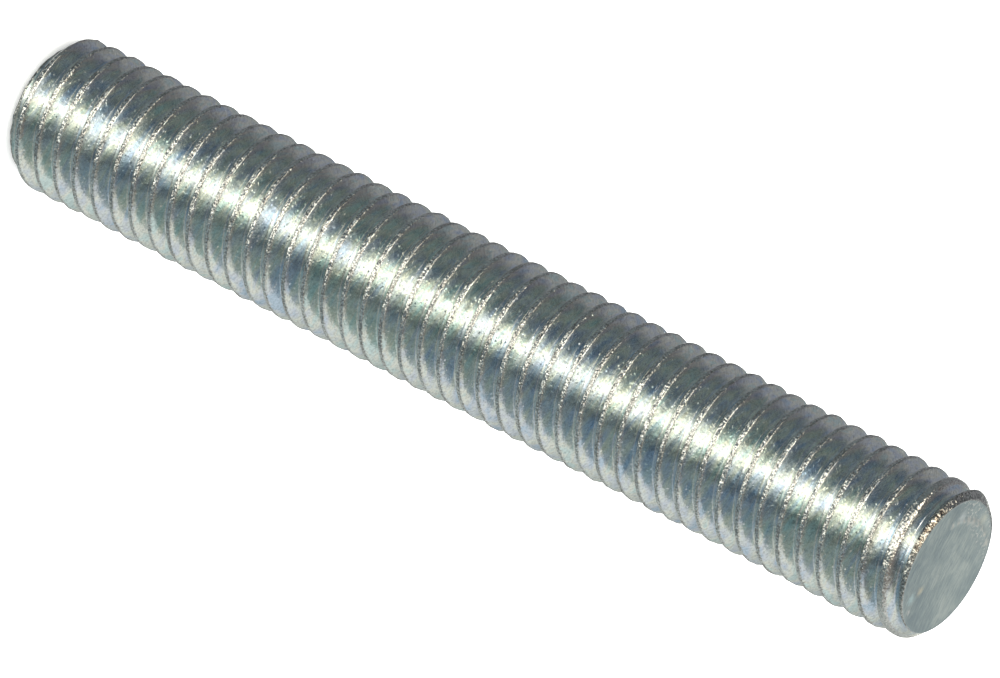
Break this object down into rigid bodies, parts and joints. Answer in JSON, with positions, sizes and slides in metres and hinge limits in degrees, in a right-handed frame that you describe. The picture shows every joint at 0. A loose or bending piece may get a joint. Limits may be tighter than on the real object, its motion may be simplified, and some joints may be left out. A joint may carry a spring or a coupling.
{
  "type": "threaded rod",
  "caption": "Short fully threaded steel rod with a chamfered flat face at each end, for nuts and tapped holes.",
  "frame": {"origin": "centre of the lower end face", "axes": "+Z along the rod's axis, from the lower face to the upper face"},
  "size_m": [0.0118, 0.0118, 0.08],
  "materials": {
    "zinc_plated_steel": "rolled steel thread with bright blue-passivated zinc plating, glossy flanks, rough crests and a satin end face"
  },
  "bodies": {
    "root": {"threaded_rod": "zinc_plated_steel"}
  },
  "joints": []
}
